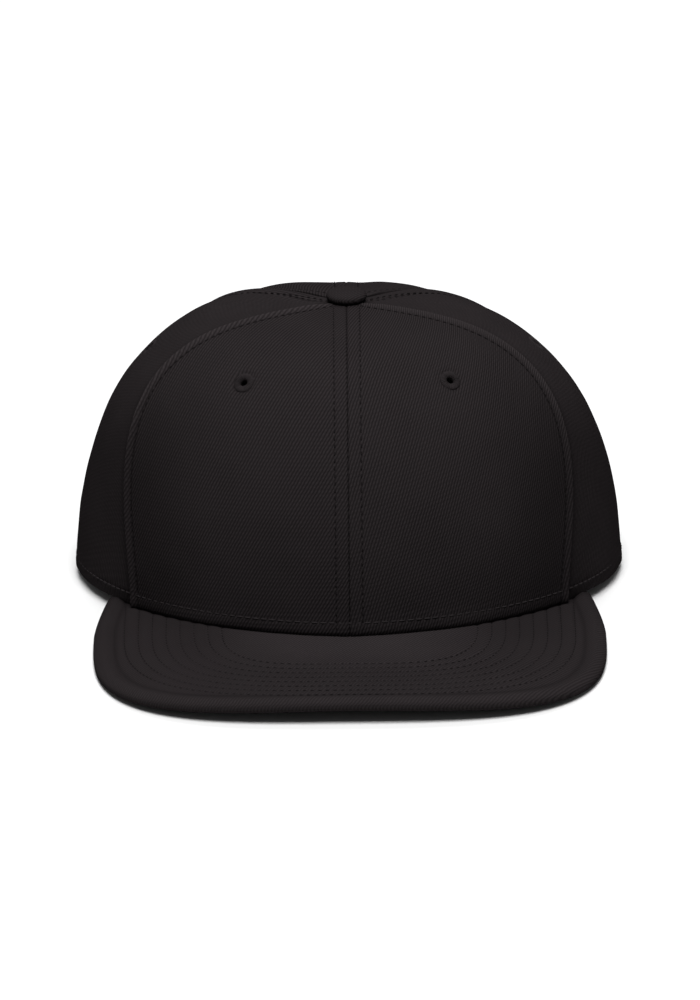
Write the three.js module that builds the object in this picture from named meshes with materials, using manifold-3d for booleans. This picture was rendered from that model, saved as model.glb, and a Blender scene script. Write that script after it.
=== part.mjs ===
// A six-panel snapback cap that lies on a surface, on the corners of its flat peak and the back of its rim.
// Millimetres, +Z up, the peak towards -Y, right as seen from the front towards +X.
// The origin lies on the surface, under the middle of the cap.
import * as THREE from "three";
import { mergeVertices } from "three/addons/utils/BufferGeometryUtils.js";
import Module from "manifold-3d";

// Fits
const GAP = 0.3; // left between two pieces that are sewn or lie together
const BAND_GAP = 0.5; // left between the panels and what lies along their inside

// Crown
const CROWN_HALF_WIDTH = 101;
const CROWN_HALF_LENGTH = 98;
const CROWN_HEIGHT = 109.5; // from the surface to where the six panels meet
const APEX_FORWARD = 14.6; // the panels meet this far in front of the rim's middle
const RIM_POWER = 1.8; // 2 makes the rim an ellipse, less makes its quarters flatter
const PANEL_WALL = 1.6;
const PANEL_TIP_RADIUS = 2.6; // the panels' tips stop this short of their meeting point
const REST_FROM = 135; // degrees round from the front: the rim lies on the surface from here back
const RIM_FALL_POWER = 1.5; // 1 makes the rim come down to the surface evenly, more makes it come down sooner

// Peak
const PEAK_HALF_WIDTH = 93.2;
const PEAK_LENGTH = 66; // from the rim's front to the peak's front edge
const PEAK_THICKNESS = 4.2;
const PEAK_ARCH = 5; // how far the middle stands above the corners
const PEAK_WIDEST = 85; // from the front edge back to the widest place
const PEAK_POWER = 3.25; // how square the front corners are
const PEAK_ROOT_TURN = 63; // degrees round from the front: the peak's ends on the rim
const PEAK_TUCK = 4.4; // how far the peak's root reaches in under the crown's wall

// Covered button
const BUTTON_RADIUS = 7.6;
const BUTTON_HEIGHT = 4.2;
const BUTTON_SKIRT = 1.1; // the upright stretch of its side

// Eyelets
const EYELET_RADIUS = 3.4;
const EYELET_HOLE_RADIUS = 1.3;
const EYELET_PROUD = 0.5; // how far the thread ring stands off each face of the panel

// Sweatband
const SWEATBAND_HEIGHT = 32;
const SWEATBAND_WALL = 1.2;
const SWEATBAND_LIFT = 0.5; // its lower edge above the rim

// Opening in the back and the snap strap across it
const OPENING_HALF_WIDTH = 42;
const OPENING_HEIGHT = 50;
const STRAP_WALL = 1.2;
const STRAP_HEIGHT = 19;
const STRAP_LIFT = 1; // its lower edge above the surface
const STRAP_TAB = 15; // the length sewn in at each side of the opening
const STRAP_END = 6; // from the last stud or hole to the free end
const SNAP_PITCH = 8.5;
const SNAP_COUNT = 7;
const SNAPS_FASTENED = 4;
const STUD_RADIUS = 1.9;
const STUD_PROUD = 1; // past the half with holes
const STUD_ROOT = 0.5; // how deep a stud starts inside its strap

// The crown's upright sections. turn is in degrees round from the front, a negative one on the left.
// lower and upper are the powers of the section's outline: a high lower keeps the wall upright for
// longer, and a high upper keeps the top flat for longer.
const SECTIONS = [
  { turn: 0, lower: 3.2, upper: 3.0 },
  { turn: 56, lower: 3.6, upper: 2.9 },
  { turn: 90, lower: 3.07, upper: 2.0 },
  { turn: 135, lower: 2.55, upper: 1.85 },
  { turn: 180, lower: 2.0, upper: 1.72 },
];

// The seams between the panels, on one side. bow is how far a seam swings back at half height, in degrees.
const SEAMS = {
  front: { turn: 0, bow: 0 },
  frontSide: { turn: 53.8, bow: 6.6 },
  backSide: { turn: 119, bow: 0 },
  back: { turn: 180, bow: 0 },
};

// Broad places where the cloth stands fuller or flatter. rise is the share of the way up a section,
// spread and height how far the place reaches in degrees and in that share, and fuller its depth as a
// share of the distance from the middle.
const DENTS = [
  { turn: -110, rise: 0.85, spread: 45, height: 0.14, fuller: 0.1 },
  { turn: -95, rise: 0.6, spread: 45, height: 0.25, fuller: 0.015 },
  { turn: 105, rise: 0.75, spread: 50, height: 0.25, fuller: -0.03 },
];

const SIDES = [
  { name: "left", sign: -1 },
  { name: "right", sign: 1 },
];
// eyelet is the place of the panel's eyelet: its turn in degrees and its share of the way up the section.
const PANELS = [
  { name: "front", from: SEAMS.front, to: SEAMS.frontSide, eyelet: { turn: 32.5, rise: 0.593 } },
  { name: "side", from: SEAMS.frontSide, to: SEAMS.backSide, eyelet: { turn: 90, rise: 0.6 } },
  { name: "back", from: SEAMS.backSide, to: SEAMS.back, eyelet: { turn: 148, rise: 0.6 } },
];

// Facets
const PANEL_STEPS_ROUND = 11;
const PANEL_STEPS_UP = 13;
const PEAK_STEPS = 44;
const EDGE_STEPS = 5;
const BAND_STEPS = 60;
const STRAP_STEPS = 16;
const ROUND_SIDES = 12;

const { degToRad, radToDeg, lerp, clamp, smoothstep } = THREE.MathUtils;

// Surface of the crown

// A superellipse's coordinate: the power of a sine or cosine with its sign kept.
function signedPower(value, power) {
  return Math.sign(value) * Math.abs(value) ** power;
}

// How far round from the front a turn is, in degrees from 0 to 180, on either side.
function fromFront(turn) {
  return 180 - Math.abs(180 - Math.abs(radToDeg(turn)));
}

// The powers of the section at a turn, eased between the rows of the table.
function sectionAt(turn) {
  const degrees = fromFront(turn);
  const next = Math.max(1, SECTIONS.findIndex((row) => row.turn >= degrees));
  const above = SECTIONS[next];
  const below = SECTIONS[next - 1];
  const share = smoothstep(degrees, below.turn, above.turn);
  return {
    lower: lerp(below.lower, above.lower, share),
    upper: lerp(below.upper, above.upper, share),
  };
}

// The top of the peak above the surface, arched from side to side.
function peakTopAt(x) {
  const span = PEAK_HALF_WIDTH - PEAK_THICKNESS / 2;
  return PEAK_THICKNESS + PEAK_ARCH * (1 - Math.min(Math.abs(x) / span, 1) ** 2);
}

// A point of the rim's outline in plan.
function rimPoint(turn) {
  return new THREE.Vector2(
    CROWN_HALF_WIDTH * signedPower(Math.sin(turn), 2 / RIM_POWER),
    -CROWN_HALF_LENGTH * signedPower(Math.cos(turn), 2 / RIM_POWER),
  );
}

// The rim's lower edge: on the peak in front, and from the peak's ends down to the surface behind.
function rimHeight(turn) {
  const degrees = fromFront(turn);
  if (degrees <= PEAK_ROOT_TURN) return peakTopAt(rimPoint(turn).x) + GAP;
  const share = clamp((REST_FROM - degrees) / (REST_FROM - PEAK_ROOT_TURN), 0, 1);
  return (peakTopAt(rimPoint(degToRad(PEAK_ROOT_TURN)).x) + GAP) * share ** RIM_FALL_POWER;
}

// How much further from the middle the cloth stands than the plain section.
function fullness(turn, rise) {
  return DENTS.reduce((sum, dent) => {
    const away = turn - degToRad(dent.turn);
    const across = Math.atan2(Math.sin(away), Math.cos(away)) / degToRad(dent.spread);
    const up = (rise - dent.rise) / dent.height;
    return sum + dent.fuller * Math.exp(-(across ** 2) - up ** 2);
  }, 1);
}

// A point of the crown's outer face: rise goes from 0 at the rim to 1 where the panels meet.
function crownPoint(turn, rise) {
  const { lower, upper } = sectionAt(turn);
  const angle = (rise * Math.PI) / 2;
  const reach = Math.cos(angle) ** (2 / lower) * fullness(turn, rise);
  const up = Math.sin(angle) ** (2 / upper);
  const rim = rimPoint(turn);
  const low = rimHeight(turn);
  return new THREE.Vector3(
    rim.x * reach,
    lerp(-APEX_FORWARD, rim.y, reach),
    lerp(low, CROWN_HEIGHT, up),
  );
}

// The direction out of the cloth.
function crownNormal(turn, rise) {
  const step = 1e-4;
  const low = clamp(rise, 0, 1 - 2 * step);
  const round = crownPoint(turn + step, low).sub(crownPoint(turn - step, low));
  const up = crownPoint(turn, low + step).sub(crownPoint(turn, low));
  return round.cross(up).normalize();
}

// A point inside the crown's outer face by a depth.
function insideCrown(turn, rise, depth) {
  return crownPoint(turn, rise).addScaledVector(crownNormal(turn, rise), -depth);
}

// The rise of the place that is a height above the rim.
function riseAtHeight(turn, height) {
  const { upper } = sectionAt(turn);
  const share = clamp(height / (CROWN_HEIGHT - rimHeight(turn)), 0, 1);
  return (Math.asin(share ** (upper / 2)) * 2) / Math.PI;
}

// The rise at which the horizontal distance to the meeting point is the tips' radius.
function riseAtTip(turn) {
  const { lower } = sectionAt(turn);
  const rim = rimPoint(turn);
  const share = PANEL_TIP_RADIUS / Math.hypot(rim.x, rim.y + APEX_FORWARD);
  return (Math.acos(share ** (lower / 2)) * 2) / Math.PI;
}

// The turn, past half a round on the left, at which the back of the rim is x to the right of the middle.
function turnAtBack(x) {
  return Math.PI - Math.asin(signedPower(x / CROWN_HALF_WIDTH, RIM_POWER / 2));
}

// Meshes and solids

function evenSteps(first, last, steps) {
  return Array.from({ length: steps + 1 }, (_, index) => lerp(first, last, index / steps));
}

function geometryOf(points, triangles) {
  const geometry = new THREE.BufferGeometry().setFromPoints(points);
  geometry.setIndex(triangles);
  return geometry;
}

// A wall between two grids of points, one outside the other, closed along its four edges.
// Seen from outside, a row of points runs to the right and the next row lies above it.
function wallBetween(outer, inner) {
  const rows = outer.length;
  const columns = outer[0].length;
  const points = [...outer.flat(), ...inner.flat()];
  const at = (layer, row, column) => (layer * rows + row) * columns + column;
  const triangles = [];
  const quad = (a, b, c, d) => triangles.push(a, b, c, a, c, d);
  for (let i = 0; i + 1 < rows; i++) {
    for (let j = 0; j + 1 < columns; j++) {
      quad(at(0, i, j), at(0, i, j + 1), at(0, i + 1, j + 1), at(0, i + 1, j));
      quad(at(1, i, j), at(1, i + 1, j), at(1, i + 1, j + 1), at(1, i, j + 1));
    }
    quad(at(0, i, 0), at(0, i + 1, 0), at(1, i + 1, 0), at(1, i, 0));
    quad(at(0, i, columns - 1), at(1, i, columns - 1), at(1, i + 1, columns - 1), at(0, i + 1, columns - 1));
  }
  for (let j = 0; j + 1 < columns; j++) {
    quad(at(0, 0, j), at(1, 0, j), at(1, 0, j + 1), at(0, 0, j + 1));
    quad(at(0, rows - 1, j), at(0, rows - 1, j + 1), at(1, rows - 1, j + 1), at(1, rows - 1, j));
  }
  return geometryOf(points, triangles);
}

const wasm = await Module();
wasm.setup();

function solidOf(geometry) {
  const bare = geometry.clone();
  bare.deleteAttribute("normal");
  bare.deleteAttribute("uv");
  const merged = mergeVertices(bare, 1e-4);
  return new wasm.Manifold(
    new wasm.Mesh({
      numProp: 3,
      vertProperties: new Float32Array(merged.attributes.position.array),
      triVerts: new Uint32Array(merged.index.array),
    }),
  );
}

function geometryFrom(solid) {
  const { vertProperties, triVerts, numProp } = solid.getMesh();
  const points = [];
  for (let i = 0; i < vertProperties.length; i += numProp) {
    points.push(new THREE.Vector3(...vertProperties.subarray(i, i + 3)));
  }
  const geometry = geometryOf(points, Array.from(triVerts));
  geometry.computeVertexNormals();
  return geometry;
}

// Turns a shape made along +Z to point along a direction, and moves it to a place.
function placedAlong(geometry, place, direction) {
  const turn = new THREE.Quaternion().setFromUnitVectors(new THREE.Vector3(0, 0, 1), direction);
  return geometry.applyQuaternion(turn).translate(...place);
}

// Panels

// The middle of the gap along a seam, on the side that sign gives.
function seamTurn(seam, rise, sign) {
  return sign * degToRad(seam.turn + seam.bow * Math.sin(Math.PI * rise));
}

// Half the seam's gap as a turn: it takes more of a turn the nearer the panels' tips are.
function gapTurn(turn, rise) {
  const step = 1e-3;
  const span = crownPoint(turn - step, rise).distanceTo(crownPoint(turn + step, rise));
  return (GAP * step) / span;
}

function panelWall({ from, to }, sign) {
  const edges = sign > 0 ? [from, to] : [to, from];
  const outer = [];
  const inner = [];
  for (let j = 0; j <= PANEL_STEPS_UP; j++) {
    const level = j / PANEL_STEPS_UP;
    const [start, end] = edges.map((seam) => seamTurn(seam, level, sign));
    const first = start + gapTurn(start, level * riseAtTip(start));
    const last = end - gapTurn(end, level * riseAtTip(end));
    const turns = evenSteps(first, last, PANEL_STEPS_ROUND);
    const places = turns.map((turn) => [turn, level * riseAtTip(turn)]);
    outer.push(places.map(([turn, rise]) => crownPoint(turn, rise)));
    inner.push(places.map(([turn, rise]) => insideCrown(turn, rise, PANEL_WALL)));
  }
  return solidOf(wallBetween(outer, inner));
}

// Where an eyelet sits: the place on the outer face and the way out of it.
function eyeletSeat({ eyelet }, sign) {
  const turn = sign * degToRad(eyelet.turn);
  return { place: crownPoint(turn, eyelet.rise), out: crownNormal(turn, eyelet.rise) };
}

function eyeletHole(panel, sign) {
  const { place, out } = eyeletSeat(panel, sign);
  const length = 4 * PANEL_WALL + 2 * EYELET_PROUD;
  const radius = EYELET_RADIUS + GAP;
  const punch = new THREE.CylinderGeometry(radius, radius, length, ROUND_SIDES);
  return solidOf(placedAlong(punch.rotateX(Math.PI / 2), place, out));
}

// The arched opening, as a block through the back of the rim.
function backOpening() {
  const arch = new THREE.Shape();
  arch.moveTo(-OPENING_HALF_WIDTH, -PEAK_THICKNESS);
  arch.lineTo(OPENING_HALF_WIDTH, -PEAK_THICKNESS);
  arch.lineTo(OPENING_HALF_WIDTH, 0);
  arch.absellipse(0, 0, OPENING_HALF_WIDTH, OPENING_HEIGHT, 0, Math.PI, false);
  const block = new THREE.ExtrudeGeometry(arch, {
    depth: CROWN_HALF_LENGTH,
    bevelEnabled: false,
    curveSegments: 2 * ROUND_SIDES,
  });
  return solidOf(block.rotateX(Math.PI / 2).translate(0, 1.5 * CROWN_HALF_LENGTH, 0));
}

function panelGeometry(panel, sign) {
  const punched = panelWall(panel, sign).subtract(eyeletHole(panel, sign));
  return geometryFrom(panel.to === SEAMS.back ? punched.subtract(backOpening()) : punched);
}

// Eyelet: a thread ring with a rounded section, on both faces of the panel
function eyeletGeometry(panel, sign) {
  const { place, out } = eyeletSeat(panel, sign);
  const outside = EYELET_PROUD;
  const inside = -PANEL_WALL - EYELET_PROUD;
  const shoulder = (EYELET_RADIUS - EYELET_HOLE_RADIUS) / 3;
  const half = [
    new THREE.Vector2(EYELET_HOLE_RADIUS, inside + EYELET_PROUD),
    new THREE.Vector2(EYELET_HOLE_RADIUS + shoulder, inside),
    new THREE.Vector2(EYELET_RADIUS - shoulder, inside),
    new THREE.Vector2(EYELET_RADIUS, inside + EYELET_PROUD),
    new THREE.Vector2(EYELET_RADIUS, outside - EYELET_PROUD),
    new THREE.Vector2(EYELET_RADIUS - shoulder, outside),
    new THREE.Vector2(EYELET_HOLE_RADIUS + shoulder, outside),
    new THREE.Vector2(EYELET_HOLE_RADIUS, outside - EYELET_PROUD),
    new THREE.Vector2(EYELET_HOLE_RADIUS, inside + EYELET_PROUD),
  ];
  const ring = new THREE.LatheGeometry(half, ROUND_SIDES).rotateX(Math.PI / 2);
  return placedAlong(geometryFrom(solidOf(ring)), place, out);
}

// Covered button: a low dome on an upright skirt
function buttonGeometry() {
  const base = GAP;
  const rise = BUTTON_HEIGHT - BUTTON_SKIRT;
  const dome = new THREE.EllipseCurve(0, base + BUTTON_SKIRT, BUTTON_RADIUS, rise, 0, Math.PI / 2);
  const profile = [
    new THREE.Vector2(0, base),
    new THREE.Vector2(BUTTON_RADIUS - BUTTON_SKIRT / 2, base),
    ...dome.getPoints(EDGE_STEPS),
  ];
  profile.at(-1).x = 0;
  const lathe = new THREE.LatheGeometry(profile, 2 * ROUND_SIDES).rotateX(Math.PI / 2);
  return lathe.translate(0, -APEX_FORWARD, CROWN_HEIGHT);
}

// Peak

// The peak's outline in plan, from its left end round the front to its right end: share goes from -1 to 1.
function peakEdge(share) {
  const front = -CROWN_HALF_LENGTH - PEAK_LENGTH;
  const widest = front + PEAK_WIDEST;
  const root = rimPoint(degToRad(PEAK_ROOT_TURN));
  const cornerShare = 0.8;
  const around = Math.abs(share);
  const side = Math.sign(share) || 1;
  if (around <= cornerShare) {
    const angle = ((around / cornerShare) * Math.PI) / 2;
    const x = PEAK_HALF_WIDTH * signedPower(Math.sin(angle), 2 / PEAK_POWER);
    const y = lerp(widest, front, signedPower(Math.cos(angle), 2 / PEAK_POWER));
    return new THREE.Vector2(side * x, y);
  }
  const back = (around - cornerShare) / (1 - cornerShare);
  return new THREE.Vector2(
    side * lerp(PEAK_HALF_WIDTH, root.x, back ** 1.5),
    lerp(widest, root.y, back),
  );
}

// The peak's root, under the crown's wall.
function peakRoot(share) {
  const turn = share * degToRad(PEAK_ROOT_TURN);
  const inside = insideCrown(turn, 0, PEAK_TUCK);
  return new THREE.Vector2(inside.x, inside.y);
}

function peakGeometry() {
  const half = PEAK_THICKNESS / 2;
  const top = [];
  const bottom = [];
  for (let k = 0; k <= PEAK_STEPS; k++) {
    const share = lerp(-1, 1, k / PEAK_STEPS);
    const root = peakRoot(share);
    const edge = peakEdge(share);
    const out = edge.clone().sub(root).normalize();
    const round = edge.clone().addScaledVector(out, -half);
    const stations = [
      { place: root, height: half },
      { place: root.clone().lerp(round, 0.5), height: half },
    ];
    for (let step = 0; step <= EDGE_STEPS; step++) {
      const angle = (Math.PI / 2) * (1 - step / EDGE_STEPS);
      stations.push({
        place: round.clone().addScaledVector(out, half * Math.cos(angle)),
        height: half * Math.sin(angle),
      });
    }
    const middle = ({ place }) => peakTopAt(place.x) - half;
    const pointAt = (station, sign) =>
      new THREE.Vector3(station.place.x, station.place.y, middle(station) + sign * station.height);
    top.push(stations.map((station) => pointAt(station, 1)));
    bottom.push(stations.map((station) => pointAt(station, -1)));
  }
  return wallBetween(top, bottom);
}

// Sweatband and snap strap

// A band that follows the inside of the crown. depthAt gives the depth of its outer face at a turn.
function bandGeometry({ from, to, low, height, wall, depthAt, steps, stepsUp }) {
  const turns = evenSteps(from, to, steps);
  const layer = (extra) =>
    evenSteps(low, low + height, stepsUp).map((level) =>
      turns.map((turn) => insideCrown(turn, riseAtHeight(turn, level), depthAt(turn) + extra)),
    );
  return wallBetween(layer(0), layer(wall));
}

const BAND_DEPTH = PANEL_WALL + BAND_GAP;
const STRAP_STEP = STRAP_WALL + GAP;

// The band lies on the panels, and on the strap's tabs beside the opening.
function sweatbandGeometry() {
  const end = turnAtBack(OPENING_HALF_WIDTH);
  const tab = turnAtBack(OPENING_HALF_WIDTH + STRAP_TAB);
  const easeFrom = turnAtBack(OPENING_HALF_WIDTH + 2 * STRAP_TAB);
  const tabShare = (turn) => smoothstep(Math.abs(turn), easeFrom, lerp(easeFrom, tab, 0.85));
  return bandGeometry({
    from: -end,
    to: end,
    low: SWEATBAND_LIFT,
    height: SWEATBAND_HEIGHT,
    wall: SWEATBAND_WALL,
    depthAt: (turn) => BAND_DEPTH + STRAP_STEP * tabShare(turn),
    steps: BAND_STEPS,
    stepsUp: 3,
  });
}

// The last stud or hole before the free end, as a distance past the middle.
const LAST_SNAP = ((SNAPS_FASTENED - 1) / 2) * SNAP_PITCH;
const FREE_END = LAST_SNAP + STRAP_END;

// The half with studs comes from the right, and lies inside the other half where they overlap.
function studDepth(turn) {
  const overlap = smoothstep(turn, turnAtBack(OPENING_HALF_WIDTH), turnAtBack(FREE_END));
  return BAND_DEPTH + STRAP_STEP * overlap;
}

function holeDepth() {
  return BAND_DEPTH;
}

function strapSolid(tabSide, depthAt) {
  const ends = [-tabSide * FREE_END, tabSide * (OPENING_HALF_WIDTH + STRAP_TAB)].map(turnAtBack);
  const band = bandGeometry({
    from: Math.min(...ends),
    to: Math.max(...ends),
    low: STRAP_LIFT,
    height: STRAP_HEIGHT,
    wall: STRAP_WALL,
    depthAt,
    steps: STRAP_STEPS,
    stepsUp: 2,
  });
  return solidOf(band);
}

// One round peg or punch for each snap of a half, standing along the way out of the cloth.
function snapPegs(tabSide, radius, depthAt, below, above) {
  return Array.from({ length: SNAP_COUNT }, (_, index) => {
    const turn = turnAtBack(tabSide * (index * SNAP_PITCH - LAST_SNAP));
    const rise = riseAtHeight(turn, STRAP_LIFT + STRAP_HEIGHT / 2);
    const middle = insideCrown(turn, rise, depthAt(turn) - (above - below) / 2);
    const peg = new THREE.CylinderGeometry(radius, radius, above + below, ROUND_SIDES);
    return solidOf(placedAlong(peg.rotateX(Math.PI / 2), middle, crownNormal(turn, rise)));
  });
}

function studStrapGeometry() {
  const reach = GAP + STRAP_WALL + STUD_PROUD;
  const studs = snapPegs(1, STUD_RADIUS, studDepth, STUD_ROOT, reach);
  const strap = studs.reduce((joined, stud) => joined.add(stud), strapSolid(1, studDepth));
  return geometryFrom(strap);
}

function holeStrapGeometry() {
  const punches = snapPegs(-1, STUD_RADIUS + GAP, holeDepth, 2 * STRAP_WALL, STRAP_WALL);
  const strap = punches.reduce((left, punch) => left.subtract(punch), strapSolid(-1, holeDepth));
  return geometryFrom(strap);
}

// Finishes
const twill = new THREE.MeshStandardMaterial({ color: 0x242021, roughness: 0.9, metalness: 0 });
const peakTwill = new THREE.MeshStandardMaterial({ color: 0x2a2627, roughness: 0.88, metalness: 0 });
const thread = new THREE.MeshStandardMaterial({ color: 0x1c1a1b, roughness: 0.7, metalness: 0 });
const bandCloth = new THREE.MeshStandardMaterial({ color: 0x1f1d1e, roughness: 0.95, metalness: 0 });
const strapPlastic = new THREE.MeshStandardMaterial({ color: 0x18181a, roughness: 0.42, metalness: 0 });

// The cap
const cap = new THREE.Group();

function addPiece(name, geometry, material) {
  const mesh = new THREE.Mesh(geometry, material);
  mesh.name = name;
  cap.add(mesh);
}

for (const panel of PANELS) {
  for (const { name, sign } of SIDES) {
    addPiece(`${panel.name}_panel_${name}`, panelGeometry(panel, sign), twill);
    addPiece(`eyelet_${panel.name}_${name}`, eyeletGeometry(panel, sign), thread);
  }
}
addPiece("top_button", buttonGeometry(), twill);
addPiece("peak", peakGeometry(), peakTwill);
addPiece("sweatband", sweatbandGeometry(), bandCloth);
addPiece("snap_strap_studs", studStrapGeometry(), strapPlastic);
addPiece("snap_strap_holes", holeStrapGeometry(), strapPlastic);

// The origin goes under the middle of the cap's length.
const reach = new THREE.Box3().setFromObject(cap);
cap.position.y = -(reach.min.y + reach.max.y) / 2;

const part = new THREE.Group();
part.add(cap);
export default part;
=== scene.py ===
"""A black six-panel snapback cap with a flat stitched peak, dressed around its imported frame.

Metres, +Z up, the peak towards -Y, right as seen from the front towards +X.
"""
import math

import bpy
import numpy as np
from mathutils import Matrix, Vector, noise


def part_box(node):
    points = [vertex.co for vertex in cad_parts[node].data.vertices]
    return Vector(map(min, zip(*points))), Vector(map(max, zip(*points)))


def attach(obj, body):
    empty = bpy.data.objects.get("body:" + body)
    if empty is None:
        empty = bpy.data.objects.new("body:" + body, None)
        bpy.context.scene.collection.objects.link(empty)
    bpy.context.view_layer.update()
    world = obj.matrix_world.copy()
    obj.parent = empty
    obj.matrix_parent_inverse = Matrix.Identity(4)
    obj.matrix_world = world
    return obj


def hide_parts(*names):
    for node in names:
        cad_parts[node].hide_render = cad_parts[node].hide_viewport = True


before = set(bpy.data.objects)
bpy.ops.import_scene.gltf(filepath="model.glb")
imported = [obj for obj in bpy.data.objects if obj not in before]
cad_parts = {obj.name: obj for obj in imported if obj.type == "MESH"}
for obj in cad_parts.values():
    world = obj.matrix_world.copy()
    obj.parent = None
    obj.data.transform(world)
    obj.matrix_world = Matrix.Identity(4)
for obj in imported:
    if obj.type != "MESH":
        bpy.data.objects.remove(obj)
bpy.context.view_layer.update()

MM = 0.001

# Sizes of the frame's solids, in millimetres
CROWN_HALF_WIDTH = 101.0
CROWN_HALF_LENGTH = 98.0
CROWN_HEIGHT = 109.5
APEX_FORWARD = 14.6
RIM_POWER = 1.8
REST_FROM = 135.0
RIM_FALL_POWER = 1.5
PANEL_WALL = 1.6
PANEL_TIP_RADIUS = 2.6
PEAK_HALF_WIDTH = 93.2
PEAK_LENGTH = 66.0
PEAK_THICKNESS = 4.2
PEAK_ARCH = 5.0
PEAK_WIDEST = 85.0
PEAK_POWER = 3.25
PEAK_ROOT_TURN = 63.0
PEAK_TUCK = 4.4
PEAK_CORNER_SHARE = 0.8
BUTTON_RADIUS = 7.6
BUTTON_HEIGHT = 4.2
EYELET_HOLE_RADIUS = 1.3
BAND_GAP = 0.5
SWEATBAND_HEIGHT = 32.0
SWEATBAND_WALL = 1.2
SWEATBAND_LIFT = 0.5
OPENING_HALF_WIDTH = 42.0
OPENING_HEIGHT = 50.0
STRAP_WALL = 1.2
STRAP_HEIGHT = 19.0
STRAP_LIFT = 1.0
STRAP_TAB = 15.0
STRAP_END = 6.0
SNAP_PITCH = 8.5
SNAP_COUNT = 7
SNAPS_FASTENED = 4
STUD_RADIUS = 1.9
STUD_PROUD = 1.0
GAP = 0.3

# The crown's upright sections: turn in degrees round from the front, and the powers of the outline
SECTIONS = [
    {"turn": 0, "lower": 3.2, "upper": 3.0},
    {"turn": 56, "lower": 3.6, "upper": 2.9},
    {"turn": 90, "lower": 3.07, "upper": 2.0},
    {"turn": 135, "lower": 2.55, "upper": 1.85},
    {"turn": 180, "lower": 2.0, "upper": 1.72},
]
# Where the cloth stands fuller or flatter. turn and spread are in degrees, rise and height are shares of
# the way up, and fuller is a share of the distance from the middle.
DENTS = [
    {"turn": -110, "rise": 0.85, "spread": 45, "height": 0.14, "fuller": 0.1},
    {"turn": -95, "rise": 0.6, "spread": 45, "height": 0.25, "fuller": 0.015},
    {"turn": 105, "rise": 0.75, "spread": 50, "height": 0.25, "fuller": -0.03},
    {"turn": 180, "rise": 0.8, "spread": 24, "height": 0.15, "fuller": 0.12},
]
# The seams on one side, in degrees round from the front, and how far each swings back half way up.
# In millimetres, ridge is how far the cloth stands out at the seam, fold how deep the stitches pull it in
# there, row how far to each side it is sewn down, and drop how far the panel behind falls away from a seam
# that is turned to the front and sewn down on that side alone.
SEAMS = {
    "front": {"turn": 0, "bow": 0, "fold": 0.6, "ridge": 0.25, "drop": 0, "row": 4.8},
    "front_side": {"turn": 53.8, "bow": 6.6, "fold": 0.3, "ridge": 0.5, "drop": 1.3, "row": 3.9},
    "back_side": {"turn": 119, "bow": 0, "fold": 0.35, "ridge": 0.8, "drop": 0, "row": 4.3},
    "back": {"turn": 180, "bow": 0, "fold": 0.3, "ridge": 0.3, "drop": 0, "row": 4.3},
}
SIDES = [("left", -1), ("right", 1)]
# slant is the way the twill's ribs run on the left and right panel, in degrees up from level
PANELS = [
    {"name": "front", "from": "front", "to": "front_side", "slant": (60, 72)},
    {"name": "side", "from": "front_side", "to": "back_side", "slant": (62, 68)},
    {"name": "back", "from": "back_side", "to": "back", "slant": (57, 66)},
]
# Each panel's eyelet: its place by turn and rise, how far its ring stands out, and how far the cloth is
# drawn in around it. The rings of thread are a little wider than their solids.
EYELETS = {
    "front": {"turn": 32.5, "rise": 0.593, "proud": 0.75, "pucker": 0.7},
    "side": {"turn": 90, "rise": 0.6, "proud": 0.1875, "pucker": 0.2},
    "back": {"turn": 148, "rise": 0.6, "proud": 0.1875, "pucker": 0.2},
}
EYELET_RADIUS = 3.9

# The rim's middle in the frame, from the front edge of the peak's solid
MIDDLE_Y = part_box("peak")[0].y / MM + CROWN_HALF_LENGTH + PEAK_LENGTH

# Sewing, in millimetres
BASE_ROW_UP = 5.0
STITCH_PITCH = 2.7
BASE_PITCH = 3.2
THREAD = 0.5
BASE_THREAD = 0.65
STITCH_LIFT = 0.1
PEAK_STITCH_LIFT = 0.12
BINDING_STITCH_LIFT = 0.08
PEAK_ROWS = 8
# The outermost row on the peak: its half width, its distance from the front edge and the power of its curve
PEAK_ROW_HALF_WIDTH = 82.0
PEAK_ROW_FRONT = 8.3
PEAK_ROW_POWER = 2.8
# How far each row lies in from the one before, at the sides and in front, and how much squarer it is
PEAK_ROW_STEP_SIDE = 5.07
PEAK_ROW_STEP_FRONT = 4.4
PEAK_ROW_SQUARER = 0.05


# Surface of the crown, as arrays of millimetres


def signed_power(value, power):
    """A power of a value's size, with the value's own sign."""
    return np.sign(value) * np.abs(value) ** power


def ease(value, low, high):
    """0 below low and 1 above high, with a smooth rise between."""
    share = np.clip((value - low) / (high - low), 0, 1)
    return share * share * (3 - 2 * share)


def hump(away, width):
    """1 at nothing away, falling softly to 0 on both sides over the width."""
    return np.exp(-((away / width) ** 2))


def lengths_along(points):
    """The length of a line of points up to each of them."""
    return np.concatenate([[0], np.cumsum(np.linalg.norm(np.diff(points, axis=0), axis=1))])


def from_front(turn):
    """How many degrees a turn lies from the front, on either side."""
    return 180 - np.abs(180 - np.abs(np.degrees(turn)))


def section_at(turn):
    """The powers of the crown's upright section at a turn, for its lower and its upper part."""
    degrees = from_front(turn)
    turns = np.array([row["turn"] for row in SECTIONS], float)
    above = np.clip(np.searchsorted(turns, degrees), 1, len(turns) - 1)
    share = ease(degrees, turns[above - 1], turns[above])
    powers = []
    for key in ("lower", "upper"):
        column = np.array([row[key] for row in SECTIONS])
        powers.append(column[above - 1] + (column[above] - column[above - 1]) * share)
    return powers


def peak_top(x):
    """The height of the peak's top face, which is arched from side to side."""
    span = PEAK_HALF_WIDTH - PEAK_THICKNESS / 2
    return PEAK_THICKNESS + PEAK_ARCH * (1 - np.minimum(np.abs(x) / span, 1) ** 2)


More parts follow.
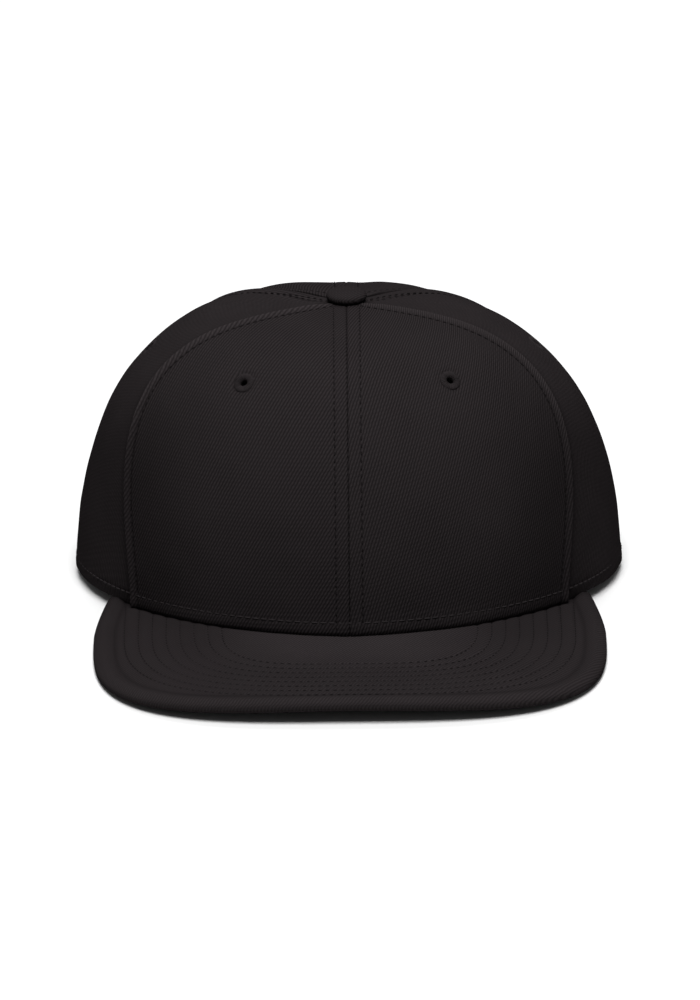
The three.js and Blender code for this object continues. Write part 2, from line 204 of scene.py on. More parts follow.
def rim_point(turn):
    """The rim's outline in plan."""
    x = CROWN_HALF_WIDTH * signed_power(np.sin(turn), 2 / RIM_POWER)
    y = -CROWN_HALF_LENGTH * signed_power(np.cos(turn), 2 / RIM_POWER)
    return x, y


def rim_height(turn):
    """How high the rim stands: on the peak in front, and falling to the ground behind it."""
    degrees = from_front(turn)
    root = peak_top(rim_point(math.radians(PEAK_ROOT_TURN))[0]) + GAP
    share = np.clip((REST_FROM - degrees) / (REST_FROM - PEAK_ROOT_TURN), 0, 1)
    behind = root * share**RIM_FALL_POWER
    return np.where(degrees <= PEAK_ROOT_TURN, peak_top(rim_point(turn)[0]) + GAP, behind)


def fullness(turn, rise):
    """The crown's distance from its middle, as a share of the plain form's."""
    total = 1.0
    for dent in DENTS:
        away = turn - math.radians(dent["turn"])
        across = np.arctan2(np.sin(away), np.cos(away)) / math.radians(dent["spread"])
        up = (rise - dent["rise"]) / dent["height"]
        total = total + dent["fuller"] * np.exp(-(across**2) - up**2)
    return total


def crown_point(turn, rise):
    """Points of the crown's outer face, rise going from 0 at the rim to 1 at the button."""
    turn, rise = np.broadcast_arrays(np.asarray(turn, float), np.asarray(rise, float))
    lower, upper = section_at(turn)
    angle = rise * math.pi / 2
    reach = np.cos(angle) ** (2 / lower) * fullness(turn, rise)
    up = np.sin(angle) ** (2 / upper)
    x, y = rim_point(turn)
    low = rim_height(turn)
    y = -APEX_FORWARD + (y + APEX_FORWARD) * reach
    return np.stack([x * reach, y, low + (CROWN_HEIGHT - low) * up], axis=-1)


def crown_normal(turn, rise):
    """The way out of the crown's outer face."""
    step = 1e-4
    rise = np.clip(rise, 0, 1 - 2 * step)
    around = crown_point(turn + step, rise) - crown_point(turn - step, rise)
    up = crown_point(turn, rise + step) - crown_point(turn, rise)
    out = np.cross(around, up)
    return out / np.linalg.norm(out, axis=-1, keepdims=True)


def rise_at_height(turn, height):
    """The rise of the place that stands a height above the rim."""
    upper = section_at(turn)[1]
    share = np.clip(height / (CROWN_HEIGHT - rim_height(turn)), 0, 1)
    return np.arcsin(share ** (upper / 2)) * 2 / math.pi


def rise_at_tip(turn):
    """The rise at which a panel ends, under the button."""
    lower = section_at(turn)[0]
    x, y = rim_point(turn)
    share = PANEL_TIP_RADIUS / np.hypot(x, y + APEX_FORWARD)
    return np.arccos(share ** (lower / 2)) * 2 / math.pi


def turn_at_back(x):
    """The turn of the place on the back of the rim that is x to the right."""
    return math.pi - np.arcsin(signed_power(np.asarray(x) / CROWN_HALF_WIDTH, RIM_POWER / 2))


def behind_at(x, z):
    """The turn and rise of the place on the back of the crown that is x to the right and z up.

    Each round corrects the turn by how far the crown leans in at that height.
    """
    turn = turn_at_back(x)
    for _ in range(12):
        rise = rise_at_height(turn, z - rim_height(turn))
        lower = section_at(turn)[0]
        reach = np.cos(rise * math.pi / 2) ** (2 / lower) * fullness(turn, rise)
        turn = turn_at_back(np.clip(x / reach, -CROWN_HALF_WIDTH, CROWN_HALF_WIDTH))
    return turn, rise


def in_frame(points):
    """Points in millimetres from the rim's middle, as metres in the frame."""
    return (np.asarray(points, float) + np.array([0, MIDDLE_Y, 0])) * MM


# Modelling by hand


def deselect():
    """An operator acts on all that is selected, so each new piece starts with nothing selected."""
    bpy.ops.object.select_all(action="DESELECT")


def work_on(piece):
    deselect()
    piece.select_set(True)
    bpy.context.view_layer.objects.active = piece


def named(name):
    """The object that was just added, under its own name."""
    piece = bpy.context.object
    piece.name = name
    piece.data.name = name
    return piece


def finish_with(piece, kind, **settings):
    """Adds one modifier and applies it."""
    work_on(piece)
    modifier = piece.modifiers.new(kind.title(), kind)
    for key, value in settings.items():
        setattr(modifier, key, value)
    bpy.ops.object.modifier_apply(modifier=modifier.name)


def smooth(piece, degrees=40):
    work_on(piece)
    bpy.ops.object.shade_smooth_by_angle(angle=math.radians(degrees))


def move_vertices(piece, places):
    piece.data.vertices.foreach_set("co", np.asarray(places, np.float32).ravel())
    piece.data.update()


def vertex_places(piece):
    places = np.zeros(len(piece.data.vertices) * 3, np.float32)
    piece.data.vertices.foreach_get("co", places)
    return places.reshape(-1, 3).astype(float)


def give_uv(piece, across, up):
    """A UV map in metres of cloth, from one value of each for every vertex."""
    layer = piece.data.uv_layers.active
    layer.name = "cloth"
    corners = np.zeros(len(piece.data.loops), np.int64)
    piece.data.loops.foreach_get("vertex_index", corners)
    layer.data.foreach_set("uv", np.stack([across, up], -1)[corners].astype(np.float32).ravel())


def give_painted_light(piece, values):
    """Puts painted light and shade on the cloth at each vertex, as a share of its plain colour."""
    painted_light = piece.data.attributes.new("painted_light", "FLOAT", "POINT")
    painted_light.data.foreach_set("value", np.asarray(values, dtype=np.float32))


def lay_cloth(name, places, cloth, wall=0.0, dressed=None, painted_light=1.0):
    """A grid laid on rows of places. Seen from outside a row runs to the right and the next lies above it.

    cloth holds each place's distance across and up the flat cloth, in millimetres. The wall lies behind
    the places. dressed holds the places of the outer face where it is raised or sunk, and the last argument
    the painted light and shade on the cloth, as a share of its plain colour.
    """
    rows, columns = places.shape[0] - 1, places.shape[1] - 1
    deselect()
    bpy.ops.mesh.primitive_grid_add(x_subdivisions=columns, y_subdivisions=rows, size=1)
    piece = named(name)
    flat = vertex_places(piece)
    i = np.rint((flat[:, 0] + 0.5) * columns).astype(int)
    j = np.rint((flat[:, 1] + 0.5) * rows).astype(int)
    move_vertices(piece, in_frame(places[j, i]))
    give_uv(piece, cloth[0][j, i] * MM, cloth[1][j, i] * MM)
    give_painted_light(piece, np.broadcast_to(painted_light, (rows + 1, columns + 1))[j, i])
    if wall:
        finish_with(piece, "SOLIDIFY", thickness=wall * MM, offset=-1)
    if dressed is not None:
        raised = vertex_places(piece)
        raised[: len(i)] = in_frame(dressed[j, i])
        move_vertices(piece, raised)
    return piece


def polar(places):
    """How far places lie from the upright axis, and their turns about it."""
    return np.hypot(places[:, 0], places[:, 1]), np.arctan2(places[:, 1], places[:, 0])


def from_polar(radius, turn, up):
    """Places at radii and turns about the upright axis."""
    return np.column_stack([radius * np.cos(turn), radius * np.sin(turn), up])


def standing_along(out):
    """The turn that makes an upright thing stand along a direction."""
    return Vector(out).to_track_quat("Z", "Y")


def stand_on_cloth(piece, place, out, shape):
    """Lays a piece's vertices out as a shape that stands on the cloth at a place, in millimetres."""
    move_vertices(piece, in_frame(place + shape @ np.array(standing_along(out).to_matrix()).T))


def punch(place, out, radius, depth, sides):
    """A round cutter through the cloth at a place, in millimetres."""
    deselect()
    bpy.ops.mesh.primitive_cylinder_add(
        vertices=sides,
        radius=radius * MM,
        depth=depth * MM,
        location=in_frame(place),
        rotation=standing_along(out).to_euler(),
    )
    return named("punch")


def round_edges(piece, width, segments):
    """Rounds the edges where faces turn by more than 60 degrees, by a width in millimetres."""
    sharp = math.radians(60)
    finish_with(
        piece, "BEVEL", width=width * MM, segments=segments, limit_method="ANGLE", angle_limit=sharp
    )


def cut(piece, cutter):
    finish_with(piece, "BOOLEAN", operation="DIFFERENCE", object=cutter, solver="EXACT")
    bpy.data.objects.remove(cutter, do_unlink=True)


def dress(piece, material, slot, *nodes):
    """Gives a finished piece its material, its body and the solids it stands for."""
    piece.data.materials.clear()
    piece.data.materials.append(material)
    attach(piece, "root")
    if nodes:
        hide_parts(*nodes)


# Materials


def new_group(name, inputs, outputs):
    """An empty shader group with named float, vector or colour sockets."""
    kinds = {"value": "NodeSocketFloat", "vector": "NodeSocketVector", "colour": "NodeSocketColor"}
    group = bpy.data.node_groups.new(name, "ShaderNodeTree")
    for title, kind, default in inputs:
        socket = group.interface.new_socket(name=title, in_out="INPUT", socket_type=kinds[kind])
        if default is not None:
            socket.default_value = default
    for title, kind in outputs:
        group.interface.new_socket(name=title, in_out="OUTPUT", socket_type=kinds[kind])
    return group


class Sheet:
    """Adds nodes to a tree and joins them, so that a material reads from top to bottom."""

    def __init__(self, tree):
        self.tree = tree

    def add(self, kind, **settings):
        node = self.tree.nodes.new(kind)
        for key, value in settings.items():
            setattr(node, key, value)
        return node

    def join(self, source, target):
        self.tree.links.new(source, target)

    def put(self, socket, value):
        if isinstance(value, bpy.types.NodeSocket):
            self.join(value, socket)
        else:
            socket.default_value = value

    def maths(self, operation, *values):
        node = self.add("ShaderNodeMath", operation=operation)
        for socket, value in zip(node.inputs, values):
            self.put(socket, value)
        return node.outputs[0]

    def blend(self, share, first, second):
        node = self.add("ShaderNodeMix", data_type="RGBA")
        self.put(node.inputs["Factor"], share)
        self.put(node.inputs["A"], first)
        self.put(node.inputs["B"], second)
        return node.outputs["Result"]

    def noise(self, vector, scale, detail=2.0, roughness=0.5):
        node = self.add("ShaderNodeTexNoise")
        self.join(vector, node.inputs["Vector"])
        node.inputs["Scale"].default_value = scale
        node.inputs["Detail"].default_value = detail
        node.inputs["Roughness"].default_value = roughness
        return node.outputs["Fac"]

    def emboss(self, height, depth, strength=1.0):
        """A normal that follows a height, where a height of 1 is depth metres."""
        node = self.add("ShaderNodeBump")
        node.inputs["Strength"].default_value = strength
        node.inputs["Distance"].default_value = depth
        self.join(height, node.inputs["Height"])
        return node.outputs[0]

    def between(self, share, low, high):
        """From low to high as the share goes from 0 to 1."""
        return self.maths("MULTIPLY_ADD", share, high - low, low)

    def wave(self, value):
        """Swings between 0 and 1, once for each 1 of the value."""
        swing = self.maths("COSINE", self.maths("MULTIPLY", value, math.tau))
        return self.maths("MULTIPLY_ADD", swing, 0.5, 0.5)


def new_material(name):
    """A material with the sheet for its nodes and its shader."""
    material = bpy.data.materials.new(name)
    material.use_nodes = True
    return material, Sheet(material.node_tree), material.node_tree.nodes["Principled BSDF"]


# How far each rib's floats start along from its neighbour's, the power that rounds a rib, and how much of
# its height the bulge of a float and the stray fibres make
FLOAT_STAGGER = 0.37
RIB_ROUNDNESS = 0.7
FLOAT_BULGE = 0.35
FIBRE_HEIGHT = 0.22


def weave_group():
    """Twill: slanting ribs of cord, each broken into floats of yarn, with stray fibres."""
    group = new_group(
        "twill weave",
        [
            ("Cloth", "vector", None),
            ("Slant", "value", 1.0),
            ("Rib", "value", 0.0011),
            ("Float", "value", 0.0019),
            ("Wander", "value", 0.48),
        ],
        [("Height", "value"), ("Fibre", "value"), ("Worn", "value")],
    )
    s = Sheet(group)
    inside = s.add("NodeGroupInput").outputs
    cloth = inside["Cloth"]
    turned = s.add("ShaderNodeVectorRotate", rotation_type="Z_AXIS")
    s.join(cloth, turned.inputs["Vector"])
    s.join(s.maths("MULTIPLY", inside["Slant"], -1.0), turned.inputs["Angle"])
    apart = s.add("ShaderNodeSeparateXYZ")
    s.join(turned.outputs[0], apart.inputs[0])
    along, across = apart.outputs["X"], apart.outputs["Y"]
    uneven = s.maths("SUBTRACT", s.noise(cloth, scale=420.0), 0.5)
    ribs = s.maths(
        "ADD",
        s.maths("DIVIDE", across, inside["Rib"]),
        s.maths("MULTIPLY", uneven, inside["Wander"]),
    )
    stagger = s.maths("MULTIPLY", s.maths("ROUND", ribs), FLOAT_STAGGER)
    floats = s.maths("ADD", s.maths("DIVIDE", along, inside["Float"]), stagger)
    rounded = s.maths("POWER", s.wave(ribs), RIB_ROUNDNESS)
    bulge = s.between(s.wave(floats), 1 - FLOAT_BULGE, 1)
    height = s.maths("MULTIPLY", rounded, bulge)
    fibre = s.noise(cloth, scale=5200.0, detail=3.0, roughness=0.65)
    out = s.add("NodeGroupOutput").inputs
    s.join(s.maths("MULTIPLY_ADD", fibre, FIBRE_HEIGHT, height), out["Height"])
    s.join(fibre, out["Fibre"])
    s.join(s.noise(cloth, scale=38.0, detail=4.0, roughness=0.6), out["Worn"])
    return group


WEAVE = weave_group()
# How much lighter than its ribs faded cloth is, and how much of the colour is that of faded patches and of
# stray fibres where they are strongest
FADED = 1.35
FADED_SHARE = 0.35
FIBRE_SHARE = 0.25


def cloth_material(name, slant, dark, light, rib=0.0011, depth=0.00026):
    """Dark twill: dark, the painted shade between its ribs, and light, on them, before the piece's painted
    light.
    """
    material, s, shader = new_material(name)
    weave = s.add("ShaderNodeGroup", node_tree=WEAVE)
    s.join(s.add("ShaderNodeUVMap", uv_map="cloth").outputs[0], weave.inputs["Cloth"])
    weave.inputs["Slant"].default_value = math.radians(slant)
    weave.inputs["Rib"].default_value = rib
    height, fibre, wear_and_highlight = (weave.outputs[title] for title in ("Height", "Fibre", "Worn"))
    faded = [channel * FADED for channel in light]
    # Painted shade: darker between the ribs than on them
    ribbed = s.blend(height, (*dark, 1), (*light, 1))
    patchy = s.blend(s.maths("MULTIPLY", wear_and_highlight, FADED_SHARE), ribbed, (*faded, 1))
    fuzzy = s.blend(s.maths("MULTIPLY", fibre, FIBRE_SHARE), patchy, (*light, 1))
    # The piece's painted light and shade scales the cloth's colour
    with_painted_light = s.add("ShaderNodeVectorMath", operation="SCALE")
    s.join(fuzzy, with_painted_light.inputs["Vector"])
    s.join(s.add("ShaderNodeAttribute", attribute_name="painted_light").outputs["Fac"], with_painted_light.inputs["Scale"])
    s.join(with_painted_light.outputs["Vector"], shader.inputs["Base Color"])
    s.join(s.between(fibre, 0.74, 0.94), shader.inputs["Roughness"])
    shader.inputs["Specular IOR Level"].default_value = 0.0
    s.join(s.emboss(height, depth, strength=0.8), shader.inputs["Normal"])
    return material


def thread_material(name, dark, light):
    """Sewing thread, its shade wandering from stitch to stitch."""
    material, s, shader = new_material(name)
    place = s.add("ShaderNodeTexCoord").outputs["Object"]
    shade = s.noise(place, scale=900.0, detail=3.0, roughness=0.6)
    s.join(s.blend(shade, (*dark, 1), (*light, 1)), shader.inputs["Base Color"])
    s.join(s.between(shade, 0.55, 0.8), shader.inputs["Roughness"])
    shader.inputs["Specular IOR Level"].default_value = 0.0
    s.join(s.emboss(s.noise(place, scale=7000.0), depth=0.00006), shader.inputs["Normal"])
    return material


def plastic_material():
    """Moulded satin plastic with a fine grain and faint scuffs."""
    material, s, shader = new_material("strap plastic")
    place = s.add("ShaderNodeTexCoord").outputs["Object"]
    grain = s.noise(place, scale=2600.0)
    scuff = s.noise(place, scale=160.0, detail=6.0, roughness=0.7)
    s.join(s.blend(scuff, (*PLASTIC_DARK, 1), (*PLASTIC_LIGHT, 1)), shader.inputs["Base Color"])
    s.join(s.between(scuff, 0.3, 0.52), shader.inputs["Roughness"])
    s.join(s.emboss(grain, depth=0.00004, strength=0.35), shader.inputs["Normal"])
    return material


# Colours between the ribs and on them: the darker colour between the ribs is painted shade
CLOTH_DARK = (0.0019, 0.0016, 0.0017)
CLOTH_LIGHT = (0.0175, 0.0149, 0.0156)
# The peak's cloth is the crown's; its lighter colours are painted light
PEAK_DARK = (0.0104, 0.0088, 0.0093)
PEAK_LIGHT = (0.0238, 0.0203, 0.0212)
BAND_DARK = (0.008, 0.0072, 0.0076)
BAND_LIGHT = (0.017, 0.0154, 0.0158)
PLASTIC_DARK = (0.006, 0.006, 0.0063)
PLASTIC_LIGHT = (0.0105, 0.0105, 0.011)
THREAD_BLACK = thread_material("black thread", (0.0040, 0.0034, 0.0036), (0.0115, 0.0099, 0.0104))
THREAD_PEAK = thread_material("peak thread", (0.0032, 0.0028, 0.0029), (0.0090, 0.0077, 0.0081))
# The base rows' thread is made lighter than the black thread as painted sheen
THREAD_PAINTED_SHEEN = thread_material("worn thread", (0.009, 0.0078, 0.0082), (0.024, 0.0210, 0.0219))
EYELET_THREAD = thread_material("eyelet thread", (0.011, 0.0094, 0.0099), (0.024, 0.0205, 0.0215))
PLASTIC = plastic_material()


# Stitches

# The power that blunts a stitch's ends, and how far they dive into the cloth
STITCH_BLUNTNESS = 0.75
STITCH_DIVE = 1.6


def one_stitch():
    """A short bent thread, 1 long and 1 thick, whose ends dive into the cloth."""
    deselect()
    bpy.ops.mesh.primitive_uv_sphere_add(segments=6, ring_count=5, radius=0.5)
    stitch = named("stitch")
    places = vertex_places(stitch)[:, [2, 0, 1]]
    places[:, 0] = signed_power(places[:, 0] * 2, STITCH_BLUNTNESS) / 2
    places[:, 2] -= STITCH_DIVE * np.abs(places[:, 0]) ** 2.5
    faces = [tuple(face.vertices) for face in stitch.data.polygons]
    bpy.data.objects.remove(stitch, do_unlink=True)
    return places, faces


STITCH_PLACES, STITCH_FACES = one_stitch()


def along_path(path, normals, pitch):
    """Middles, directions and normals at every pitch along a line of points, in millimetres."""
    length = lengths_along(path)
    count = int(length[-1] / pitch)
    spots = (np.arange(count) + 0.5) * length[-1] / count

    def read(values, at):
        return np.stack([np.interp(at, length, values[:, k]) for k in range(3)], -1)

    ahead = read(path, spots + pitch / 4) - read(path, spots - pitch / 4)
    return read(path, spots), ahead / np.linalg.norm(ahead, axis=1, keepdims=True), read(normals, spots)


def sew(name, rows, thread, fill=0.55, thick=THREAD):
    """One joined mesh with a stitch at each pitch of each row of (path, normals, pitch)."""
    places = []
    for path, normals, pitch in rows:
        middles, ahead, out = along_path(path, normals, pitch)
        side = np.cross(out, ahead)
        side /= np.linalg.norm(side, axis=1, keepdims=True)
        up = np.cross(ahead, side)
        shape = STITCH_PLACES * np.array([pitch * fill, thick, thick])
        for middle, a, b, c in zip(middles, ahead, side, up):
            places.append(middle + shape @ np.stack([a, b, c]))
    count = len(STITCH_PLACES)
    faces = [tuple(v + k * count for v in face) for k in range(len(places)) for face in STITCH_FACES]
    mesh = bpy.data.meshes.new(name)
    mesh.from_pydata(in_frame(np.concatenate(places)).tolist(), [], faces)
    piece = bpy.data.objects.new(name, mesh)
    bpy.context.scene.collection.objects.link(piece)
    mesh.shade_smooth()
    dress(piece, thread, "eyelet_thread")


# Panels

# How the cloth lies at a seam, in millimetres: the width of its fold, the cloth folded under as far as just
# past the row, and the groove that the row pulls
FOLD_WIDTH = 0.35
SEAM_ALLOWANCE = 0.15
SEAM_GROOVE = 0.26
SEAM_GROOVE_WIDTH = 0.45
# At the edge turned to the front, its bead, and the dip and the fall of the panel behind it
BEAD = 0.6
BEAD_IN = 1.0
BEAD_WIDTH = 0.9
DIP = 0.45
DIP_WIDTH = 0.8
FALL_WIDTH = 4.0
# At the rim
RIM_TURNED_IN = 0.7
RIM_ALLOWANCE = 0.3
BASE_GROOVE = 0.36
# The slow unevenness of the cloth, and the lengths of its broad and its finer waves
UNEVEN = 0.32
BROAD_WAVE = 26.0
FINE_WAVE = 11.0
# How much wider than its ring's hole the cloth is punched at an eyelet, under the threads
PUNCH_EASE = 0.35
# Where the rows beside the seams start above the rim and above the opening, and how close two rows may come
ROW_START = 1.2
ROW_ABOVE_OPENING = 4
ROWS_APART = 0.6
# Painted light and shade on the panels, as shares of their plain colour: the side panels darker low down
# and beside the front panels' turned edge, the front panels darker towards it and in its row, and lighter
# along it
SIDE_TONE_LOW = 0.8
SIDE_TONE_RISE = 0.25
UNDER_EDGE_SHADE = 0.36
FRONT_SIDE_SHADE = 0.34
EDGE_PAINTED_HIGHLIGHT = 0.34
EDGE_PAINTED_HIGHLIGHT_BROAD = 0.08
SEWN_SHADE = 0.2


def seam_turn(seam, level, sign):
    """How far round a seam lies at a level, which goes from 0 at the rim to 1 at the panels' tips."""
    return sign * np.radians(SEAMS[seam]["turn"] + SEAMS[seam]["bow"] * np.sin(math.pi * level))


def seams_of(panel, sign):
    """A panel's left and right seam, as seen from outside."""
    return (panel["from"], panel["to"]) if sign > 0 else (panel["to"], panel["from"])


def across_panel(panel, sign, level, spots):
    """Turns at distances in millimetres across a panel from its left seam, and its width, at a level."""
    seams = seams_of(panel, sign)
    turns = np.linspace(seam_turn(seams[0], level, sign), seam_turn(seams[1], level, sign), 161)
    line = crown_point(turns, level * rise_at_tip(turns))
    length = lengths_along(line)
    return np.interp(spots(length[-1]), length, turns), length[-1]


def panel_columns(width, edge=8.4, most=0.42, edge_steps=24, middle_steps=40):
    """Distances across a panel, close together near the seams, as far as edge or most of the width."""
    edge = min(edge, most * width)
    near = np.linspace(0, edge, edge_steps + 1)
    middle = np.linspace(edge, width - edge, middle_steps + 1)[1:-1]
    return np.concatenate([near, middle, width - near[::-1]])


def panel_levels(panel, sign, steps=150):
    """Levels from rim to tip, even along the middle of the panel, and the length up to each."""
    fine = np.linspace(0, 1, 3000) ** 2
    middle = (seam_turn(panel["from"], fine, sign) + seam_turn(panel["to"], fine, sign)) / 2
    line = crown_point(middle, fine * rise_at_tip(middle))
    length = lengths_along(line)
    even = np.linspace(0, length[-1], steps + 1)
    return np.interp(even, length, fine), even


def seam_relief(seam, distance, room, in_front):
    """How far the cloth stands out at a distance from a seam: a narrow fold, then a ridge down to the row.

    room is half the panel's width, and in_front says that the panel lies in front of the seam.
    """
    shape = SEAMS[seam]
    row = shape["row"]
    fade = ease(room, low=1.0, high=9.0)
    bead = 0
    if shape["drop"]:
        if not in_front:
            near = 1 - ease(distance, low=9, high=38)
            fall = shape["drop"] * (1 - np.exp(-distance / FALL_WIDTH)) * near
            return -(fall + DIP * hump(distance, DIP_WIDTH)) * fade
        bead = BEAD * hump(distance - BEAD_IN, BEAD_WIDTH) * fade
    fold = -shape["fold"] * hump(distance, FOLD_WIDTH)
    ridge = shape["ridge"] * (1 - np.clip(distance / row, 0, 1) ** 1.2)
    allowance = SEAM_ALLOWANCE * (1 - ease(distance, row + 0.1, row + 1.8))
    groove = -SEAM_GROOVE * hump(distance - row, SEAM_GROOVE_WIDTH)
    return fold * np.minimum(1, 0.5 + fade) + (ridge + allowance + groove) * fade + bead


def rim_relief(height):
    """How far the cloth stands out at a height above the rim: a turned edge and the row above it."""
    turned = -RIM_TURNED_IN * hump(height, width=0.6)
    allowance = RIM_ALLOWANCE * (1 - ease(height, BASE_ROW_UP + 0.2, BASE_ROW_UP + 2.2))
    groove = -BASE_GROOVE * hump(height - BASE_ROW_UP, width=0.5)
    return turned + allowance + groove


def eyelet_seat(panel, sign):
    """The middle of a panel's eyelet, and the way out."""
    eyelet = EYELETS[panel["name"]]
    turn = sign * math.radians(eyelet["turn"])
    return crown_point(turn, eyelet["rise"]), crown_normal(turn, eyelet["rise"])


def wave_at(point):
    """The unevenness at a point in millimetres: a broad wave and a finer one, each to both sides of 0."""
    return noise.noise(Vector(point / BROAD_WAVE)) + 0.5 * noise.noise(Vector(point / FINE_WAVE))


def panel_relief(panel, sign, points, distance, width, height):
    """The whole relief of a panel, in millimetres out of the plain crown."""
    left_seam, right_seam = seams_of(panel, sign)
    left = seam_relief(left_seam, distance, width / 2, left_seam == panel["to"])
    right = seam_relief(right_seam, width - distance, width / 2, right_seam == panel["to"])
    from_eyelet = np.linalg.norm(points - eyelet_seat(panel, sign)[0], axis=-1)
    pucker = -EYELETS[panel["name"]]["pucker"] * hump(from_eyelet - EYELET_RADIUS, width=0.9)
    waves = np.array([wave_at(point) for point in points])
    inner = ease(np.minimum(distance, width - distance), low=3.0, high=14.0)
    return left + right + rim_relief(height) + pucker + UNEVEN * waves * inner


def panel_painted_light(panel, sign, distance, width, height):
    """Painted shade low on the side panels and about the front panels' turned edge, with a highlight along
    it.
    """
    if panel["name"] == "back":
        return np.ones(distance.shape)

    edge_seam = panel["to" if panel["name"] == "front" else "from"]
    from_edge = width - distance if edge_seam == seams_of(panel, sign)[1] else distance
    # Painted shade: darker low down and beside the front panel's turned edge
    if panel["name"] == "side":
        under_edge = UNDER_EDGE_SHADE * hump(from_edge, width=3.2)
        return (SIDE_TONE_LOW + SIDE_TONE_RISE * ease(height, low=40.0, high=90.0)) * (1 - under_edge)

    # Painted shade towards the turned edge low down, a painted highlight along the edge, and sewn, painted
    # shade in its row
    low_down = 1 - ease(height, low=45.0, high=95.0)
    shaded = FRONT_SIDE_SHADE * (1 - ease(from_edge, low=6.0, high=48.0)) * low_down
    broad = 0.35 + 0.85 * ease(height, low=45.0, high=85.0)
    wear_and_highlight = EDGE_PAINTED_HIGHLIGHT * hump(from_edge - broad, broad)
    highlight_broad = EDGE_PAINTED_HIGHLIGHT_BROAD * (1 - ease(from_edge, low=2.6, high=4.2))
    sewn = -SEWN_SHADE * hump(from_edge - SEAMS["front_side"]["row"], width=0.5)
    return 1 - shaded + wear_and_highlight + highlight_broad + sewn


def panel_path(panel, sign, levels, spot):
    """A line up a panel for stitches, lifted off the crown's plain surface, and its normals."""
    path, out = [], []
    for level in levels:
        turn = across_panel(panel, sign, level, spot)[0]
        rise = level * rise_at_tip(turn)
        path.append(crown_point(turn, rise))
        out.append(crown_normal(turn, rise))
    path, out = np.concatenate(path), np.concatenate(out)
    return path + STITCH_LIFT * out, out


def block_through_opening():
    """A block with an arched top, as wide as the opening in the back, to cut the panels with."""
    deselect()
    bpy.ops.mesh.primitive_cylinder_add(
        vertices=96,
        radius=1,
        depth=CROWN_HALF_LENGTH * MM,
        location=in_frame((0, CROWN_HALF_LENGTH, 0)),
        rotation=(math.pi / 2, 0, 0),
    )
    block = named("opening")
    block.scale = (OPENING_HALF_WIDTH * MM, OPENING_HEIGHT * MM, 1)
    bpy.ops.object.transform_apply(location=True, rotation=True, scale=True)
    return block


def cloth_middle(panel, sign):
    """Where the straight grain runs, as a share across: at the front seam, or down a panel's middle."""
    if panel["from"] == "front":
        return 0 if sign > 0 else 1
    return 0.5


def make_panel(panel, sign, side):
    """One panel's cloth with its relief, its eyelet and the opening cut through it."""
    levels, up = panel_levels(panel, sign)
    plain, dressed, across, painted_light, widths = [], [], [], [], []
    for level, height in zip(levels, up):
        turns, width = across_panel(panel, sign, level, panel_columns)
        distance = panel_columns(width)
        rise = level * rise_at_tip(turns)
        points = crown_point(turns, rise)
        relief = panel_relief(panel, sign, points, distance, width, height)
        plain.append(points)
        dressed.append(points + relief[:, None] * crown_normal(turns, rise))
        across.append(distance - width * cloth_middle(panel, sign))
        painted_light.append(panel_painted_light(panel, sign, distance, width, height))
        widths.append(width)
    across = np.array(across)
    cloth = (across, np.repeat(up[:, None], across.shape[1], axis=1))
    name = f"cloth_{panel['name']}_{side}"
    piece = lay_cloth(name, np.array(plain), cloth, PANEL_WALL, np.array(dressed), np.array(painted_light))
    cut(piece, punch(*eyelet_seat(panel, sign), EYELET_HOLE_RADIUS + PUNCH_EASE, depth=8, sides=32))
    if panel["to"] == "back":
        cut(piece, block_through_opening())
    smooth(piece, 50)
    slant = panel["slant"][sign > 0]
    material = cloth_material(f"twill {panel['name']} {side}", slant, CLOTH_DARK, CLOTH_LIGHT)
    dress(piece, material, "crown_twill", f"{panel['name']}_panel_{side}")
    widths = np.array(widths)


def crown_rows(panel, sign):
    """The stitch rows of one panel, one beside each seam."""
    rows = []
    levels, up = panel_levels(panel, sign, 400)
    for seam, from_left in zip(seams_of(panel, sign), (True, False)):
        inset = SEAMS[seam]["row"]
        if SEAMS[seam]["drop"] and seam == panel["from"]:
            continue

        def spot(width, inset=inset, from_left=from_left):
            return np.array([inset if from_left else width - inset])

        widths = np.array([across_panel(panel, sign, level, spot)[1] for level in levels])
        low = OPENING_HEIGHT + ROW_ABOVE_OPENING if seam == "back" else ROW_START
        kept = levels[(widths > 2 * inset + ROWS_APART) & (up > low)]
        rows.append((*panel_path(panel, sign, kept, spot), STITCH_PITCH))

    return rows


def base_rows():
    """The row above the rim that holds the sweatband, from one side of the opening round to the other."""
    end = float(turn_at_back(OPENING_HALF_WIDTH + 1))
    turns = np.linspace(-end, end, 1200)
    rise = rise_at_height(turns, BASE_ROW_UP)
    out = crown_normal(turns, rise)
    return [(crown_point(turns, rise) + STITCH_LIFT * out, out, BASE_PITCH)]


def make_crown():
    rows = []
    for panel in PANELS:
        for side, sign in SIDES:
            make_panel(panel, sign, side)
            rows += crown_rows(panel, sign)
    sew("crown_stitches", rows, THREAD_BLACK)
    sew("base_stitches", base_rows(), THREAD_PAINTED_SHEEN, fill=0.8, thick=BASE_THREAD)


# Peak

# From the rim's middle to the peak's front edge and to its widest place
PEAK_FRONT = -CROWN_HALF_LENGTH - PEAK_LENGTH
WIDEST_Y = PEAK_FRONT + PEAK_WIDEST
# The peak's relief, in millimetres: the groove of a row, the soft cloth between two rows, the width of the
# padded edge, its swell and how far it falls away, and a slow unevenness with the length of its waves
ROW_GROOVE = 0.34
ROW_GROOVE_WIDTH = 0.55
QUILT_SWELL = 0.12
EDGE_WIDTH = 7.8
EDGE_SWELL = 0.8
EDGE_FALL = 1.1
PEAK_UNEVEN = 0.16
PEAK_WAVE = 30
